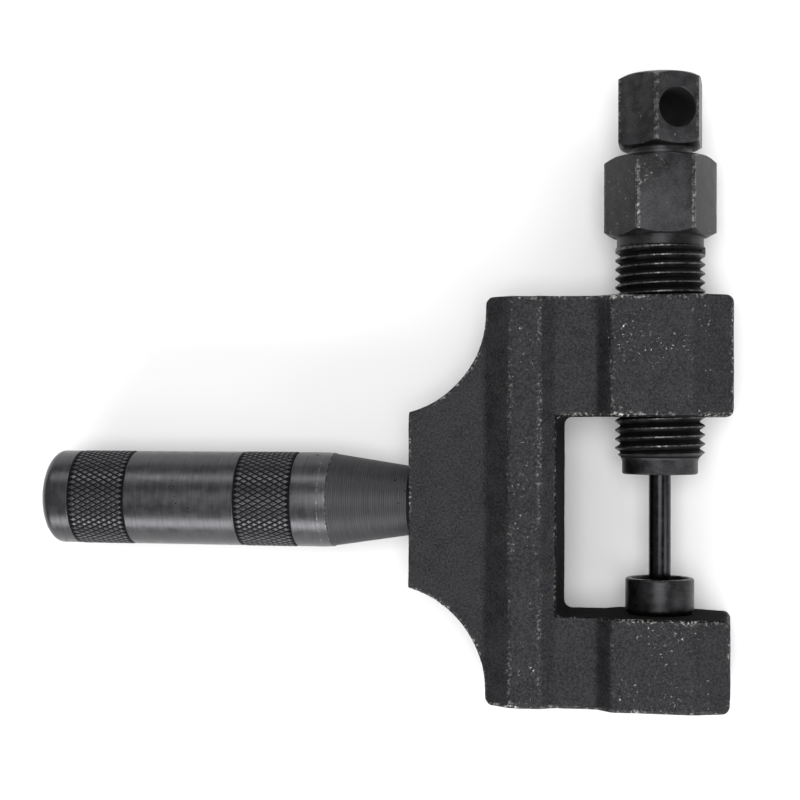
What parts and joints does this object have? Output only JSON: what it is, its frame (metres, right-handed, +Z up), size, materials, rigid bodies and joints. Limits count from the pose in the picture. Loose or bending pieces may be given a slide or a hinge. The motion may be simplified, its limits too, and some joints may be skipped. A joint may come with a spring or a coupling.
{
  "type": "chain tool",
  "caption": "Heavy chain breaker: C-frame with a round side handle, hollow guide screw, drive screw with a bar hole, captive push pin and a cup anvil.",
  "frame": {"origin": "middle of the bottom of the tool's box, as it lies flat with its screws at rest", "axes": "+X from the handle's end towards the screws, +Y along the screws from the anvil to the hexagon heads, +Z up through the frame's thickness"},
  "size_m": [0.1606, 0.1406, 0.0264],
  "materials": {
    "forged_frame": "forged, blackened, dry matte with fine grit and bright worn edges",
    "turned_handle": "turned and blackened, satin, with two diamond knurled bands",
    "anvil_steel": "hardened, black, satin",
    "guide_screw_steel": "black oxide with worn hexagon corners",
    "drive_screw_steel": "black oxide, satin, with worn edges",
    "pin_steel": "hardened and ground, dark",
    "spring_steel": "drawn wire"
  },
  "bodies": {
    "frame": {"frame": "forged_frame", "handle": "turned_handle", "anvil": "anvil_steel"},
    "guide_feed": {"pin_spring": "spring_steel"},
    "guide_screw": {"guide_screw": "guide_screw_steel"},
    "pin_feed": {"push_pin": "pin_steel"},
    "drive_screw": {"drive_screw": "drive_screw_steel"}
  },
  "joints": [
    {"name": "guide_screw_feed", "type": "slide", "parent": "frame", "child": "guide_feed", "axis": [0, 1, 0], "range_m": [-0.011, 0.012]},
    {"name": "guide_screw_turn", "type": "hinge", "parent": "guide_feed", "child": "guide_screw", "pos_m": [0.0641, 0, 0.0132], "axis": [0, 1, 0], "range_deg": [-1980, 2160]},
    {"name": "push_pin_feed", "type": "slide", "parent": "guide_feed", "child": "pin_feed", "axis": [0, 1, 0], "range_m": [-0.0015, 0.0255], "deforming": ["pin_spring"]},
    {"name": "drive_screw_turn", "type": "hinge", "parent": "pin_feed", "child": "drive_screw", "pos_m": [0.0641, 0, 0.0132], "axis": [0, 1, 0], "range_deg": [-360, 6120]}
  ],
  "couplings": [
    {"joint": "guide_screw_feed", "follows": "guide_screw_turn", "m_per_rad": 0.00031831},
    {"joint": "push_pin_feed", "follows": "drive_screw_turn", "m_per_rad": 0.00023873}
  ]
}
